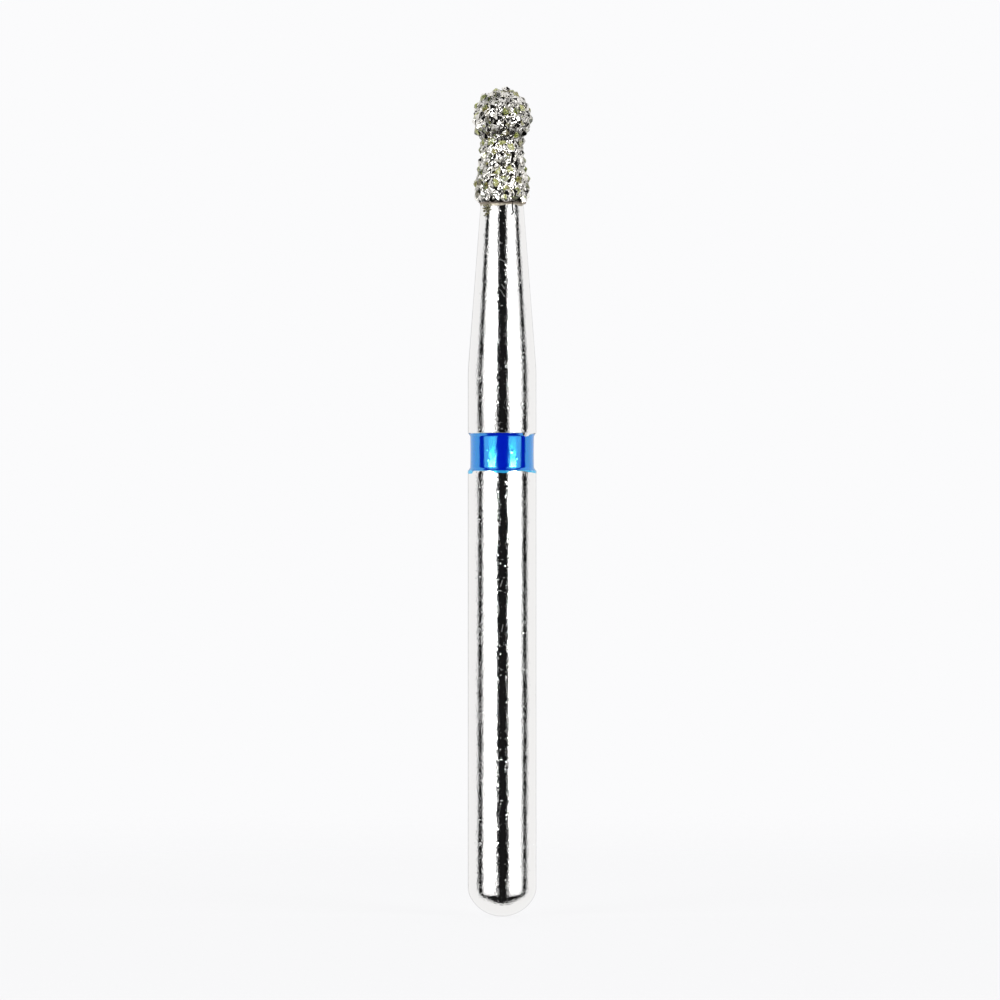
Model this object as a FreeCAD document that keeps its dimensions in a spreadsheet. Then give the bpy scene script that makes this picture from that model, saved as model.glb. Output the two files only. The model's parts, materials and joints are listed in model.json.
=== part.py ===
import FreeCAD, Part
import itertools
import math
import os
import random

import Sketcher
from FreeCAD import Rotation, Vector

# Diamond dental bur for a friction-grip handpiece, in millimetres.
# A turned steel blank, one coat of nickel on its head, the diamond crystals that the nickel
# holds, and a ring of blue lacquer in a shallow groove of the shank.
# +Z runs along the axis from the tail to the head, and the origin is the tip of the tail.

doc = FreeCAD.newDocument("dental_bur")

# Driving sizes

SIZES = {
    "shank_diameter": 1.60,
    "shank_length": 12.78,
    "tail_dome_per_shank": 0.525,
    "tail_edge_per_shank": 0.3125,
    "neck_length": 4.04,
    "neck_end_diameter": 0.98,
    "collar_diameter": 1.08,
    "collar_bevel": 0.13,
    "collar_land": 0.20,
    "flare_length": 0.60,
    "waist_diameter": 0.80,
    "ball_diameter": 1.14,
    "ball_rise": 0.918,
    "band_start": 10.42,
    "band_width": 0.88,
    "groove_depth": 0.10,
    "groove_wall_depth": 0.05,
    "lacquer_thickness": 0.04,
    "lacquer_edge_step": 0.012,
    "lacquer_shoulder_step": 0.046,
    "lacquer_shoulder_width": 0.18,
    "bond_thickness": 0.055,
    "coat_lap": 0.12,
    "crystal_height": 0.148,
    "crystal_width": 0.235,
    "crystal_gap": 0.006,
    "seat_gap": 0.006,
    "casts_per_area": 31,
}

sheet = doc.addObject("Spreadsheet::Sheet", "sizes")
for row, (alias, value) in enumerate(SIZES.items(), start=1):
    sheet.set(f"A{row}", alias)
    sheet.set(f"B{row}", str(value))
    sheet.setAlias(f"B{row}", alias)
doc.recompute()


def size(alias):
    return float(sheet.get(alias))


# Corners of the blank's profile: x is the radius and y the height

def third_side(longest, other):
    return math.sqrt(longest ** 2 - other ** 2)


def towards(start, end, distance):
    return start + (end - start).normalize() * distance


def throat(lift):
    """The corner where waist and ball meet, at a height of lift above the steel."""
    x = size("waist_diameter") / 2 + lift
    return Vector(x, BALL.y - third_side(BALL_RADIUS + lift, x))


NECK_FOOT = Vector(size("shank_diameter") / 2, size("shank_length"))
NECK_TOP = Vector(size("neck_end_diameter") / 2, NECK_FOOT.y + size("neck_length"))
BEVEL_TOP = Vector(size("collar_diameter") / 2, NECK_TOP.y + size("collar_bevel"))
LAND_TOP = BEVEL_TOP + Vector(0, size("collar_land"))
FLARE_TOP = Vector(size("waist_diameter") / 2, LAND_TOP.y + size("flare_length"))
BALL = Vector(0, FLARE_TOP.y + size("ball_rise"))
BALL_RADIUS = size("ball_diameter") / 2
HEAD_SIDE = [NECK_TOP, BEVEL_TOP, LAND_TOP, FLARE_TOP, throat(0)]


# Sketch helpers

START, END, CENTRE = range(1, 4)
ORIGIN = (-1, 1)
AXIS = -2


def new_sketch(body, label):
    """A sketch on the body's own XZ plane, where x is the radius and y the height."""
    sketch = body.newObject("Sketcher::SketchObject", label)
    plane = next(part for part in body.Origin.OriginFeatures if part.Role == "XZ_Plane")
    sketch.AttachmentSupport = [(plane, "")]
    sketch.MapMode = "FlatFace"
    return sketch


def add_line(sketch, start, end):
    return sketch.addGeometry(Part.LineSegment(start, end))


def add_arc(sketch, centre, start, end):
    """An arc that runs anticlockwise from start to end."""
    circle = Part.Circle(centre, Vector(0, 0, 1), (start - centre).Length)
    angles = [math.atan2(spot.y - centre.y, spot.x - centre.x) for spot in (start, end)]
    return sketch.addGeometry(Part.ArcOfCircle(circle, *angles))


def tie(sketch, kind, *where):
    sketch.addConstraint(Sketcher.Constraint(kind, *where))


def bind(sketch, kind, *where, to):
    """A dimension of the sketch, bound to cells of the sheet."""
    value = float(sheet.evalExpression(to))
    index = sketch.addConstraint(Sketcher.Constraint(kind, *where, value))
    sketch.setExpression(f"Constraints[{index}]", to)


def add_head_side(sketch, lift):
    """Bevel, land, flare, waist and ball, drawn about lift outside the steel's profile."""
    corners = [corner + Vector(lift, 0) for corner in HEAD_SIDE[:-1]] + [throat(lift)]
    sides = [add_line(sketch, start, end) for start, end in zip(corners, corners[1:])]
    ball = add_arc(sketch, BALL, throat(lift), BALL + Vector(0, BALL_RADIUS + lift))
    for lower, upper in zip(sides, sides[1:] + [ball]):
        tie(sketch, "Coincident", lower, END, upper, START)
    tie(sketch, "PointOnObject", ball, END, AXIS)
    return sides, ball


def bind_steel_side(sketch, sides, ball):
    """Sizes of the side of the head that is steel."""
    bevel, land, flare, waist = sides
    bind(sketch, "DistanceX", *ORIGIN, bevel, START, to="sizes.neck_end_diameter / 2")
    bind(sketch, "DistanceY", *ORIGIN, bevel, START, to="sizes.shank_length + sizes.neck_length")
    bind(sketch, "DistanceX", *ORIGIN, bevel, END, to="sizes.collar_diameter / 2")
    bind(sketch, "DistanceY", bevel, START, bevel, END, to="sizes.collar_bevel")
    tie(sketch, "Vertical", land)
    bind(sketch, "DistanceY", land, START, land, END, to="sizes.collar_land")
    bind(sketch, "DistanceX", *ORIGIN, flare, END, to="sizes.waist_diameter / 2")
    bind(sketch, "DistanceY", flare, START, flare, END, to="sizes.flare_length")
    tie(sketch, "Vertical", waist)
    bind(sketch, "DistanceY", waist, START, ball, CENTRE, to="sizes.ball_rise")
    tie(sketch, "PointOnObject", ball, CENTRE, AXIS)
    bind(sketch, "Radius", ball, to="sizes.ball_diameter / 2")


def turn(body, kind, sketch):
    """A full turn of the sketch about the axis: a Revolution adds and a Groove cuts."""
    feature = body.newObject(f"PartDesign::{kind}", f"{sketch.Label}_turn")
    feature.Profile = sketch
    feature.ReferenceAxis = (sketch, ["V_Axis"])
    feature.Angle = 360
    sketch.Visibility = False
    return feature


# Steel blank: domed tail, shank, band groove, tapered neck and the head's core

steel_blank = doc.addObject("PartDesign::Body", "steel_blank")
blank_profile = new_sketch(steel_blank, "blank_profile")


def draw_blank_profile(sketch):
    dome_radius = size("shank_diameter") * size("tail_dome_per_shank")
    edge_radius = size("shank_diameter") * size("tail_edge_per_shank")
    dome_centre = Vector(0, dome_radius)
    edge_x = size("shank_diameter") / 2 - edge_radius
    edge_drop = third_side(dome_radius - edge_radius, edge_x)
    edge_centre = Vector(edge_x, dome_centre.y - edge_drop)
    dome_end = towards(dome_centre, edge_centre, dome_radius)
    edge_end = edge_centre + Vector(edge_radius, 0)

    dome = add_arc(sketch, dome_centre, Vector(), dome_end)
    edge = add_arc(sketch, edge_centre, dome_end, edge_end)
    shank = add_line(sketch, edge_end, NECK_FOOT)
    neck = add_line(sketch, NECK_FOOT, NECK_TOP)
    sides, ball = add_head_side(sketch, 0)
    core = add_line(sketch, BALL + Vector(0, BALL_RADIUS), Vector())

    tie(sketch, "Coincident", dome, START, *ORIGIN)
    tie(sketch, "PointOnObject", dome, CENTRE, AXIS)
    bind(sketch, "Radius", dome, to="sizes.shank_diameter * sizes.tail_dome_per_shank")
    tie(sketch, "Tangent", dome, END, edge, START)
    bind(sketch, "Radius", edge, to="sizes.shank_diameter * sizes.tail_edge_per_shank")
    tie(sketch, "Tangent", edge, END, shank, START)
    tie(sketch, "Vertical", shank)
    bind(sketch, "DistanceX", *ORIGIN, shank, END, to="sizes.shank_diameter / 2")
    bind(sketch, "DistanceY", *ORIGIN, shank, END, to="sizes.shank_length")
    tie(sketch, "Coincident", shank, END, neck, START)
    tie(sketch, "Coincident", neck, END, sides[0], START)
    bind_steel_side(sketch, sides, ball)
    tie(sketch, "Coincident", ball, END, core, START)
    tie(sketch, "Coincident", core, END, *ORIGIN)


draw_blank_profile(blank_profile)
turn(steel_blank, "Revolution", blank_profile)


def draw_section(sketch, corners):
    """A closed section through corners, each given as two rules: its radius and its height."""
    spots = [Vector(*(float(sheet.evalExpression(rule)) for rule in corner)) for corner in corners]
    sides = [add_line(sketch, start, end) for start, end in zip(spots, spots[1:] + spots[:1])]
    for i, (across, up) in enumerate(corners):
        tie(sketch, "Coincident", sides[i - 1], END, sides[i], START)
        bind(sketch, "DistanceX", *ORIGIN, sides[i], START, to=across)
        bind(sketch, "DistanceY", *ORIGIN, sides[i], START, to=up)


LOW = "sizes.band_start"
HIGH = f"{LOW} + sizes.band_width"
MIDDLE = f"{LOW} + sizes.band_width / 2"
SKIN = "sizes.shank_diameter / 2"
GROOVE_FLOOR = [
    (f"{SKIN} - sizes.groove_wall_depth", HIGH),
    (f"{SKIN} - sizes.groove_depth", MIDDLE),
    (f"{SKIN} - sizes.groove_wall_depth", LOW),
]
GROOVE_MOUTH = [
    (f"{SKIN} + sizes.groove_depth", LOW),
    (f"{SKIN} + sizes.groove_depth", HIGH),
]
groove_profile = new_sketch(steel_blank, "groove_profile")
draw_section(groove_profile, GROOVE_FLOOR + GROOVE_MOUTH)
turn(steel_blank, "Groove", groove_profile)


# Colour band: lacquer on the groove's hollow floor, its own face hollow too

LACQUER_FACE = [
    (f"{SKIN} - sizes.lacquer_edge_step", LOW),
    (f"{SKIN} - sizes.lacquer_shoulder_step", f"{LOW} + sizes.lacquer_shoulder_width"),
    (f"{SKIN} - sizes.groove_depth + sizes.lacquer_thickness", MIDDLE),
    (f"{SKIN} - sizes.lacquer_shoulder_step", f"{HIGH} - sizes.lacquer_shoulder_width"),
    (f"{SKIN} - sizes.lacquer_edge_step", HIGH),
]
colour_band = doc.addObject("PartDesign::Body", "colour_band")
band_profile = new_sketch(colour_band, "band_profile")
draw_section(band_profile, GROOVE_FLOOR + LACQUER_FACE)
turn(colour_band, "Revolution", band_profile)


# Nickel layer: an even coat over the head's core, its edge bevelled down to the neck

nickel_layer = doc.addObject("PartDesign::Body", "nickel_layer")
layer_profile = new_sketch(nickel_layer, "layer_profile")


def draw_layer_profile(sketch):
    thickness = size("bond_thickness")
    coat_foot = towards(NECK_TOP, NECK_FOOT, size("coat_lap"))
    skin_foot = coat_foot + Vector(thickness, thickness)
    crown = BALL + Vector(0, BALL_RADIUS)

    neck = add_line(sketch, coat_foot, NECK_TOP)
    inner_sides, inner_ball = add_head_side(sketch, 0)
    outer_sides, outer_ball = add_head_side(sketch, thickness)
    skin = add_line(sketch, skin_foot, NECK_TOP + Vector(thickness, 0))
    edge = add_line(sketch, coat_foot, skin_foot)
    tip = add_line(sketch, crown, crown + Vector(0, thickness))
    neck_foot = sketch.addGeometry(Part.Point(NECK_FOOT), True)

    tie(sketch, "Coincident", neck, END, inner_sides[0], START)
    bind_steel_side(sketch, inner_sides, inner_ball)
    bind(sketch, "DistanceX", *ORIGIN, neck_foot, START, to="sizes.shank_diameter / 2")
    bind(sketch, "DistanceY", *ORIGIN, neck_foot, START, to="sizes.shank_length")
    tie(sketch, "PointOnObject", neck_foot, START, neck)
    bind(sketch, "DistanceY", neck, START, neck, END, to="sizes.coat_lap")
    tie(sketch, "Coincident", skin, END, outer_sides[0], START)
    for inner, outer in zip([neck] + inner_sides, [skin] + outer_sides):
        tie(sketch, "Parallel", inner, outer)
        bind(sketch, "Distance", outer, START, inner, to="sizes.bond_thickness")
    tie(sketch, "Coincident", inner_ball, CENTRE, outer_ball, CENTRE)
    bind(sketch, "Radius", outer_ball, to="sizes.ball_diameter / 2 + sizes.bond_thickness")
    tie(sketch, "Coincident", edge, START, neck, START)
    tie(sketch, "Coincident", edge, END, skin, START)
    bind(sketch, "DistanceY", edge, START, edge, END, to="sizes.bond_thickness")
    tie(sketch, "Coincident", tip, START, inner_ball, END)
    tie(sketch, "Coincident", tip, END, outer_ball, END)


draw_layer_profile(layer_profile)
turn(nickel_layer, "Revolution", layer_profile)
doc.recompute()
for sketch in (blank_profile, groove_profile, band_profile, layer_profile):
    if not sketch.FullyConstrained:
        raise RuntimeError(f"{sketch.Label} is not fully constrained")


# Crystals: octahedra, the habit that diamond grit grows in

class Crystal:
    """One grain: an octahedron stretched along its axes, turned and put at a place."""

    def __init__(self, axes, rotation, centre):
        arms = [Vector(*(length / 2 if i == k else 0 for i in range(3)))
                for k, length in enumerate(axes)]
        self.corners = [centre + rotation.multVec(arm * side) for arm in arms for side in (1, -1)]
        self.centre = centre

    def move(self, shift):
        self.corners = [corner + shift for corner in self.corners]
        self.centre = self.centre + shift

    def faces(self):
        """Three corners of each face, one end of every axis, anticlockwise seen from outside."""
        for ends in itertools.product((0, 1), repeat=3):
            face = [self.corners[2 * axis + end] for axis, end in enumerate(ends)]
            yield face if sum(ends) % 2 == 0 else face[::-1]

    def planes(self):
        for first, second, third in self.faces():
            normal = (second - first).cross(third - first).normalize()
            yield normal, normal.dot(first)

    def clears(self, other, gap):
        """True where some face of one has the whole of the other beyond it."""
        for one, two in ((self, other), (other, self)):
            for normal, offset in one.planes():
                if min(normal.dot(corner) for corner in two.corners) > offset + gap:
                    return True
        return False

    def solid(self):
        faces = [Part.Face(Part.makePolygon(face + face[:1])) for face in self.faces()]
        return Part.Solid(Part.Shell(faces))


# Seats: where the crystals lie on the steel of the head

COATED_SIDE = [towards(NECK_TOP, NECK_FOOT, size("coat_lap") - size("bond_thickness"))] + HEAD_SIDE
PROFILE_STEP = 0.01
SEATING_STEPS = 8
UP = Vector(0, 0, 1)


def seats():
    """Spots at equal steps up the coated profile, each with the direction straight out."""
    for start, end in zip(COATED_SIDE, COATED_SIDE[1:]):
        way = (end - start).normalize()
        for step in range(int((end - start).Length / PROFILE_STEP)):
            yield start + way * (step * PROFILE_STEP), Vector(way.y, -way.x)
    low = math.asin((HEAD_SIDE[-1].y - BALL.y) / BALL_RADIUS)
    for step in range(int((math.pi / 2 - low) * BALL_RADIUS / PROFILE_STEP)):
        angle = low + step * PROFILE_STEP / BALL_RADIUS
        way = Vector(math.cos(angle), math.sin(angle))
        yield BALL + way * BALL_RADIUS, way


def height(point):
    """How far a point stands off the steel of the head."""
    spot = Vector(math.hypot(point.x, point.y), point.z)
    on_ball = towards(BALL, spot, BALL_RADIUS)
    nearest = [on_ball] if on_ball.y > HEAD_SIDE[-1].y else []
    for start, end in zip(COATED_SIDE, COATED_SIDE[1:]):
        way = end - start
        share = (spot - start).dot(way) / way.dot(way)
        nearest.append(start + way * min(max(share, 0), 1))
    return min((spot - touch).Length for touch in nearest)


def seat(crystal, outward):
    """Lower the crystal until its lowest corner stands just off the steel."""
    for _ in range(SEATING_STEPS):
        spare = min(height(corner) for corner in crystal.corners) - size("seat_gap")
        crystal.move(outward * -spare)


# Diamond grit: crystals cast at random on the coated steel

SEED = 7
SPOTS_TRIED = 20
SLIMMEST, FATTEST = 0.9, 1.1
LARGEST_LEAN = 12


def turned(flat, around):
    """A point or direction of the profile, turned round the axis into its place."""
    return around.multVec(Vector(flat.x, 0, flat.y))


def grow(draw, spot, outward):
    """A crystal of random size that stands corner down on the spot, twisted and leaning."""
    lengths = (size("crystal_width"), size("crystal_width"), size("crystal_height"))
    axes = [length * draw.uniform(SLIMMEST, FATTEST) for length in lengths]
    twist = Rotation(UP, draw.uniform(0, 360))
    lean = Rotation(Vector(1, 0, 0), draw.uniform(-LARGEST_LEAN, LARGEST_LEAN))
    rotation = Rotation(UP, outward) * lean * twist
    crystal = Crystal(axes, rotation, spot + outward * size("crystal_width"))
    seat(crystal, outward)
    return crystal


def cast_crystals():
    """Each falls on the barest of some random spots; one that would hit another is left out."""
    draw = random.Random(SEED)
    places = list(seats())
    widths = [spot.x for spot, way in places]
    area = math.tau * PROFILE_STEP * sum(widths)
    kept = []
    for _ in range(round(area * size("casts_per_area"))):
        spots = []
        for spot, way in draw.choices(places, widths, k=SPOTS_TRIED):
            around = Rotation(UP, draw.uniform(0, 360))
            spot, outward = turned(spot, around), turned(way, around)
            room = min([(spot - other.centre).Length for other in kept], default=0)
            spots.append((room, len(spots), spot, outward))
        crystal = grow(draw, *max(spots)[2:])
        reach = 2 * size("crystal_width")
        near = [other for other in kept if (crystal.centre - other.centre).Length < reach]
        if all(crystal.clears(other, size("crystal_gap")) for other in near):
            kept.append(crystal)
    return kept


diamond_grit = doc.addObject("Part::Feature", "diamond_grit")
diamond_grit.Shape = Part.makeCompound([crystal.solid() for crystal in cast_crystals()])


# Nickel bond: the layer with a socket for each crystal

nickel_bond = doc.addObject("Part::Cut", "nickel_bond")
nickel_bond.Base = nickel_layer
nickel_bond.Tool = diamond_grit
doc.recompute()


# Write each sub-part under its own name

SUB_PARTS = [steel_blank, nickel_bond, diamond_grit, colour_band]

for item in doc.Objects:
    if {"Invalid", "Error"} & set(item.State):
        raise RuntimeError(f"{item.Label} failed: {item.State}")
for item in SUB_PARTS:
    if item.Shape.isNull() or not item.Shape.isValid():
        raise RuntimeError(f"{item.Label} has no valid shape")

os.makedirs("parts", exist_ok=True)
for item in SUB_PARTS:
    item.Shape.exportStep(f"parts/{item.Label}.step")
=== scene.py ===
import json
import math
import random

import bpy
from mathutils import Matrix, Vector, noise

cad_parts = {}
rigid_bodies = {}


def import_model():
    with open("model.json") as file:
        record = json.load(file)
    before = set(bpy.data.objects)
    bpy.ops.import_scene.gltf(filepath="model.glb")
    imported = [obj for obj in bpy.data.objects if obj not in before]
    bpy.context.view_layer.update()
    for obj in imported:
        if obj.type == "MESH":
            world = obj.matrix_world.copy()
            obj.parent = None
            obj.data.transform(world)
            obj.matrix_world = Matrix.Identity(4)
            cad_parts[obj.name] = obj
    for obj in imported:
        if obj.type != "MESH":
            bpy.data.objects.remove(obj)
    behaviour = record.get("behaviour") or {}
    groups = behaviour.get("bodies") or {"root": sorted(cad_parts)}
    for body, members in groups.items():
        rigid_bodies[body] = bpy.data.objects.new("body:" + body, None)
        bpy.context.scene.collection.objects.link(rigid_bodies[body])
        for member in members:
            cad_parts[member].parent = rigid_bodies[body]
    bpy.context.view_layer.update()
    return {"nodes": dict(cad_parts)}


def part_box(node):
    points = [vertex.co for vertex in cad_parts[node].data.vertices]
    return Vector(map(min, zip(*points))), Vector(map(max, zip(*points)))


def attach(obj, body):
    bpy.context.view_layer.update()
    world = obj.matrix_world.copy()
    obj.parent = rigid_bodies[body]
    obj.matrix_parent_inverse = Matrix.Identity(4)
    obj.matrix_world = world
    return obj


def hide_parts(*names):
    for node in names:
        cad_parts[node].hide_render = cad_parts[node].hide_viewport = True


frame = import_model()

# Looks of a diamond dental bur: a turned blank, its lacquer band, the nickel coat of the head
# and the crystals that the coat holds. Lengths are in millimetres here, and turn to metres
# where a mesh, a node or the camera takes them.

MM = 0.001
BODY = "root"


def box_mm(name):
    return [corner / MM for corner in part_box(name)]


# Sizes taken from the frame

SHANK_RADIUS = box_mm("steel_blank")[1].x
BAND_LOW, BAND_HIGH = (corner.z for corner in box_mm("colour_band"))
BAND_MIDDLE = (BAND_LOW + BAND_HIGH) / 2
COAT_FOOT = box_mm("nickel_bond")[0].z

# Sizes of the turned profile

DOME_RADIUS, EDGE_RADIUS = 0.84, 0.50
NECK_FOOT = (SHANK_RADIUS, 12.78)
NECK_TOP = (0.49, 16.82)
COLLAR_RADIUS, COLLAR_LOW, COLLAR_HIGH = 0.54, 16.95, 17.15
WAIST_RADIUS, WAIST_LOW = 0.40, 17.75
BALL_HEIGHT, BALL_RADIUS = 18.668, 0.57
GROOVE_DEPTH, GROOVE_WALL = 0.10, 0.05
COAT = 0.055

# The photograph's scale, for marks that are placed one by one

# A mark's places are columns and rows of the photograph. A width that follows them is in pixels
# for the pits in the lacquer, and in millimetres for the rest.
PIXEL = 0.02339
AXIS_COLUMN, TAIL_ROW = 502.1, 916.3
FRAME_PIXELS = 1000


def height_of(row):
    return (TAIL_ROW - row) * PIXEL


def angle_of(column):
    """Angle round the shank, from the side that faces the viewer."""
    return math.asin(max(-1, min(1, (column - AXIS_COLUMN) * PIXEL / SHANK_RADIUS)))


def photo_spot(column, row):
    """A place on the front of the shank or neck, in metres, with its depth left out."""
    return Vector(((column - AXIS_COLUMN) * PIXEL * MM, 0, height_of(row) * MM))


# Node helpers and colours

def linear(hex_colour):
    """sRGB hex to the linear values that a socket takes."""
    parts = [int(hex_colour[i:i + 2], 16) / 255 for i in (1, 3, 5)]
    return [p / 12.92 if p <= 0.04045 else ((p + 0.055) / 1.055) ** 2.4 for p in parts] + [1]


def add(tree, kind, inputs=(), **settings):
    """A node with its settings.

    inputs feeds its open sockets, by name or in turn, each with a value, an output, or a node
    whose first open output is meant."""
    made = tree.nodes.new(kind)
    for name, value in settings.items():
        setattr(made, name, value)
    sockets = [socket for socket in made.inputs if socket.enabled]
    if isinstance(inputs, dict):
        named = {socket.name: socket for socket in sockets}
        sockets, inputs = [named[name] for name in inputs], inputs.values()
    for socket, value in zip(sockets, inputs):
        if isinstance(value, bpy.types.Node):
            value = next(output for output in value.outputs if output.enabled)
        if isinstance(value, bpy.types.NodeSocket):
            tree.links.new(value, socket)
        else:
            socket.default_value = value
    return made


def scale_for(width):
    """Scale of a pattern whose grains are this many millimetres wide."""
    return 1 / (width * MM)


def set_stops(colours, stops):
    """Fills a colour ramp with stops, each a position and an sRGB hex colour."""
    while len(colours.elements) < len(stops):
        colours.elements.new(0.5)
    for element, (position, hex_colour) in zip(colours.elements, stops):
        element.position = position
        element.color = linear(hex_colour)


def new_material(name):
    material = bpy.data.materials.new(name)
    material.use_nodes = True
    material.node_tree.nodes.clear()
    return material, material.node_tree


def finish_material(tree, inputs):
    shader = add(tree, "ShaderNodeBsdfPrincipled", inputs)
    add(tree, "ShaderNodeOutputMaterial", {"Surface": shader})


# Steel

# A name that ends in RUN gives two values of a pattern, and then what they are stretched to, which
# is 0 and 1 where it is left out. So it does for the other materials.
DIMPLE_WIDTH, DIMPLE_DEPTH = 0.055, 0.0042
WAVE_WIDTH, WAVE_DEPTH = 0.30, 0.0010
PIT_CELL, PIT_SINK, PIT_RUN = 0.085, 0.0029, (0.05, 0.26, 1.0, 0.0)
CELLS_LEFT_WHOLE = 0.7
GRIND_WIDTH, GRIND_DEPTH, GRIND_RUN = 0.028, 0.0042, (0.42, 0.60, 0.45, 1.0)
HAZE_WIDTH, GLOSS_RUN = 0.5, (0.50, 0.80, 0.01, 0.07)
SCRATCHES = [
    [(499.4, 260.6), (502.0, 260.8), (504.4, 262.4), (505.8, 265.2)],
    [(500.6, 291.0), (504.6, 297.6)],
    [(501.6, 285.0), (504.6, 289.6)],
    [(503.4, 223.8), (504.0, 224.6)],
    [(498.8, 242.0), (499.4, 242.6)],
    [(503.6, 576.8), (504.2, 577.6)],
    [(500.4, 586.0), (502.4, 580.0)],
    [(501.6, 631.0), (503.0, 624.0)],
]
SCRATCH_WIDTH, SCRATCH_CORE, SCRATCH_ROUGHNESS = 0.009, 0.4, 0.30
DUST = [(530.1, 286.4, 0.020), (516.5, 883.0, 0.016)]
DUST_LENGTH, DUST_CORE = 0.1, 0.5


def far_from_line(tree, flat, start, end):
    """Distance of a flattened place from a straight line between two spots."""
    way = end - start
    arm = add(tree, "ShaderNodeVectorMath", [flat, start], operation="SUBTRACT")
    along = add(tree, "ShaderNodeVectorMath", [arm, way], operation="DOT_PRODUCT")
    share = add(tree, "ShaderNodeMath", [along, way.dot(way)], operation="DIVIDE", use_clamp=True)
    foot = add(tree, "ShaderNodeVectorMath", [way, share], operation="SCALE")
    return add(tree, "ShaderNodeVectorMath", [arm, foot], operation="DISTANCE")


def ground_steel():
    """Stainless steel, centreless ground and plated bright: mirror-like, but mottled with dimples
    a few hundredths of a millimetre wide, which break up the edge of each reflection."""
    material, tree = new_material("ground_steel")
    place = add(tree, "ShaderNodeTexCoord").outputs["Object"]
    waves = add(tree, "ShaderNodeTexNoise", {
        "Vector": place, "Scale": scale_for(WAVE_WIDTH), "Detail": 2.0})
    dimples = add(tree, "ShaderNodeTexNoise", {
        "Vector": place, "Scale": scale_for(DIMPLE_WIDTH), "Detail": 2.0, "Roughness": 0.6})
    cells = add(tree, "ShaderNodeTexVoronoi", {"Vector": place, "Scale": scale_for(PIT_CELL)})
    lot = add(tree, "ShaderNodeSeparateColor", [cells.outputs["Color"]])
    chosen = add(tree, "ShaderNodeMath", [lot, CELLS_LEFT_WHOLE], operation="GREATER_THAN")
    pits = add(tree, "ShaderNodeMapRange", [cells, *PIT_RUN])
    pits = add(tree, "ShaderNodeMath", [pits, chosen], operation="MULTIPLY")
    haze = add(tree, "ShaderNodeTexNoise", {
        "Vector": place, "Scale": scale_for(HAZE_WIDTH), "Detail": 3.0, "Roughness": 0.7})
    grind = add(tree, "ShaderNodeTexNoise", {
        "Vector": place, "Scale": scale_for(GRIND_WIDTH), "Detail": 1.0})
    coarse = add(tree, "ShaderNodeMapRange", [haze, *GRIND_RUN])
    grind = add(tree, "ShaderNodeMath", [grind, coarse], operation="MULTIPLY")
    relief = {}
    for pattern, depth in ((waves, WAVE_DEPTH), (dimples, DIMPLE_DEPTH), (pits, PIT_SINK),
                           (grind, GRIND_DEPTH)):
        relief = {"Normal": add(tree, "ShaderNodeBump", {
            "Height": pattern, "Distance": depth * MM, **relief})}
    flat = add(tree, "ShaderNodeVectorMath", [place, (1, 0, 1)], operation="MULTIPLY")
    front = add(tree, "ShaderNodeSeparateXYZ", [place]).outputs["Y"]
    front = add(tree, "ShaderNodeMath", [front, 0.0], operation="LESS_THAN")
    nearest = 1.0
    for spots in SCRATCHES:
        for start, end in zip(spots, spots[1:]):
            far = far_from_line(tree, flat, photo_spot(*start), photo_spot(*end))
            nearest = add(tree, "ShaderNodeMath", [nearest, far], operation="MINIMUM")
    scratch = add(tree, "ShaderNodeMapRange", [
        nearest, SCRATCH_CORE * SCRATCH_WIDTH * MM, SCRATCH_WIDTH * MM, 1.0, 0.0])
    scratch = add(tree, "ShaderNodeMath", [scratch, front], operation="MULTIPLY")
    roughness = add(tree, "ShaderNodeMapRange", [haze, *GLOSS_RUN])
    roughness = add(tree, "ShaderNodeMath", [scratch, SCRATCH_ROUGHNESS, roughness],
                    operation="MULTIPLY_ADD", use_clamp=True)
    colour = linear("#F4F3F2")
    for column, row, reach in DUST:
        end = photo_spot(column + DUST_LENGTH, row)
        far = far_from_line(tree, flat, photo_spot(column, row), end)
        speck = add(tree, "ShaderNodeMapRange", [
            far, DUST_CORE * reach * MM, reach * MM, 1.0, 0.0])
        speck = add(tree, "ShaderNodeMath", [speck, front], operation="MULTIPLY")
        colour = add(tree, "ShaderNodeMix", [speck, colour, linear("#8C8A88")], data_type="RGBA")
    finish_material(tree, {
        "Base Color": colour, "Metallic": 1.0, "Roughness": roughness, **relief})
    return material


# Lacquer

RIPPLE_WIDTH, RIPPLE_DEPTH = 0.09, 0.003
RIPPLE_STRETCH = (1, 1, 0.3)


def band_lacquer():
    """Blue lacquer over bright metal: deep blue where it is thick, sky blue where it runs thin
    over the shank, with a hard wet gloss and slow upright ripples."""
    material, tree = new_material("band_lacquer")
    place = add(tree, "ShaderNodeTexCoord").outputs["Object"]
    thin = add(tree, "ShaderNodeAttribute", attribute_name="thin").outputs["Fac"]
    drawn_out = add(tree, "ShaderNodeVectorMath", [place, RIPPLE_STRETCH], operation="MULTIPLY")
    ripples = add(tree, "ShaderNodeTexNoise", {
        "Vector": drawn_out, "Scale": scale_for(RIPPLE_WIDTH), "Detail": 2.0})
    relief = add(tree, "ShaderNodeBump", {"Height": ripples, "Distance": RIPPLE_DEPTH * MM})
    colour = add(tree, "ShaderNodeMix", [thin, linear("#0014B8"), linear("#2C9AD2")],
                 data_type="RGBA")
    finish_material(tree, {
        "Base Color": colour, "Metallic": 0.0, "Roughness": 0.12, "IOR": 2.8,
        "Specular IOR Level": 1.0, "Specular Tint": linear("#28C6DA"), "Coat Weight": 1.0,
        "Coat Roughness": 0.04, "Coat IOR": 1.5, "Normal": relief, "Coat Normal": relief})
    return material


# Nickel

LUMP_WIDTH, LUMP_DEPTH = 0.07, 0.007
# PATCH_WIDTH sizes the patches of painted shade; the two runs set how far they darken the crevices
# and the throat.
PATCH_WIDTH, CREVICE_SHADE_RUN, THROAT_SHADE_RUN = 0.10, (0.38, 0.44), (0.36, 0.50)
TINT_WIDTH, TINT_RUN = 0.16, (0.42, 0.58)
POLISH, SKIRT_ROUGHNESS = 0.08, 0.45
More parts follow.
